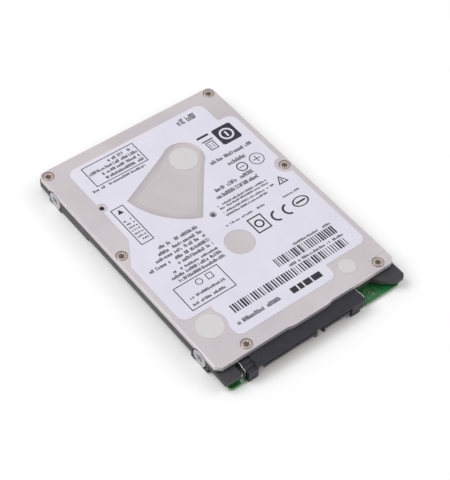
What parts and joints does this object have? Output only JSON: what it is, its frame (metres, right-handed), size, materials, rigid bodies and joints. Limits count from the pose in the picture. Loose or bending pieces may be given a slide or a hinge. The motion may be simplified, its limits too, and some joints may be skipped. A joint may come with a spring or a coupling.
{
  "type": "hard disk drive",
  "caption": "Slim 2.5 inch hard disk drive: stamped cover with label over a black casting, circuit board underneath, serial plug at one end, disk and head arm inside.",
  "frame": {"origin": "bottom centre of the drive's box, on the mounting plane", "axes": "+X across the drive, +Y along it from the plug end to the far end, +Z from the mounting plane up through the cover"},
  "size_m": [0.0698, 0.1002, 0.007],
  "materials": {
    "coated_casting": "die casting with a satin black coat",
    "cover_sheet": "satin bead-blasted sheet",
    "gasket_foam": "matte foam",
    "screw_steel": "warm nickel plate",
    "small_screw_steel": "bright zinc",
    "label_film": "printed polyester film",
    "seal_foil": "matte adhesive foil",
    "board_laminate": "green solder mask over glass laminate",
    "insulator_film": "black polyester film",
    "plug_plastic": "glass-filled black plastic",
    "gold_contacts": "gold flash",
    "tinned_steel": "tin plate",
    "chip_resin": "moulded epoxy",
    "crystal_can": "nickel can",
    "ceramic_parts": "tan ceramic with tinned ends",
    "flex_film": "amber polyimide",
    "bearing_bronze": "sintered bronze",
    "bearing_steel": "ground steel",
    "hub_aluminium": "turned",
    "magnet_nickel": "nickel plate",
    "yoke_steel": "nickel-plated stamping",
    "lamination_steel": "coated laminations",
    "copper_wire": "enamelled copper wire",
    "disk_mirror": "sputtered and polished",
    "coil_resin": "brown moulded resin",
    "spring_steel": "rolled stainless sheet",
    "slider_ceramic": "lapped ceramic",
    "ramp_plastic": "natural low-wear plastic",
    "filter_felt": "white filter felt"
  },
  "bodies": {
    "root": {"base_casting": "coated_casting", "top_cover": "cover_sheet", "cover_gasket": "gasket_foam", "cover_screws": "screw_steel", "product_label": "label_film", "foil_seals": "seal_foil", "circuit_board": "board_laminate", "board_screws": "small_screw_steel", "board_insulator": "insulator_film", "sata_plug": "plug_plastic", "power_contacts": "gold_contacts", "signal_contacts": "gold_contacts", "plug_hold_downs": "tinned_steel", "controller_chip": "chip_resin", "motor_driver_chip": "chip_resin", "memory_chip": "chip_resin", "flash_chip": "chip_resin", "crystal": "crystal_can", "passive_components": "ceramic_parts", "shock_sensors": "ceramic_parts", "test_points": "gold_contacts", "motor_flex": "flex_film", "motor_contacts": "gold_contacts", "head_connector": "plug_plastic", "bearing_sleeve": "bearing_bronze", "thrust_plate": "bearing_steel", "stator_core": "lamination_steel", "stator_coils": "copper_wire", "pivot_shaft": "bearing_steel", "bearing_inner_rings": "bearing_steel", "bearing_balls": "bearing_steel", "pivot_screw": "screw_steel", "flex_cable": "flex_film", "flex_bracket": "spring_steel", "lower_yoke": "yoke_steel", "upper_yoke": "yoke_steel", "voice_coil_magnets": "magnet_nickel", "crash_stops": "gasket_foam", "inner_screws": "small_screw_steel", "load_ramp": "ramp_plastic", "latch_pin": "bearing_steel", "recirculation_filter": "filter_felt", "breather_filter": "filter_felt"},
    "disk_rotor": {"spindle_hub": "hub_aluminium", "spindle_shaft": "bearing_steel", "rotor_magnet": "magnet_nickel", "platter": "disk_mirror", "disk_clamp": "hub_aluminium", "clamp_screw": "small_screw_steel"},
    "head_arm": {"actuator_arm": "hub_aluminium", "pivot_sleeve": "bearing_steel", "bearing_outer_rings": "bearing_steel", "voice_coil": "copper_wire", "coil_frame": "coil_resin", "upper_suspension": "spring_steel", "lower_suspension": "spring_steel", "head_sliders": "slider_ceramic", "preamp_chip": "chip_resin"},
    "latch": {"latch_lever": "ramp_plastic"}
  },
  "joints": [
    {"name": "disk_spin", "type": "hinge", "parent": "root", "child": "disk_rotor", "pos_m": [0.0003, -0.0106, 0.0043], "axis": [0, 0, 1], "continuous": true},
    {"name": "arm_swing", "type": "hinge", "parent": "root", "child": "head_arm", "pos_m": [0.0074, 0.0281, 0.0043], "axis": [0, 0, 1], "range_deg": [0, 35.5]},
    {"name": "latch_turn", "type": "hinge", "parent": "root", "child": "latch", "pos_m": [0.02658, 0.03737, 0.0043], "axis": [0, 0, 1], "range_deg": [-16, 0]}
  ]
}
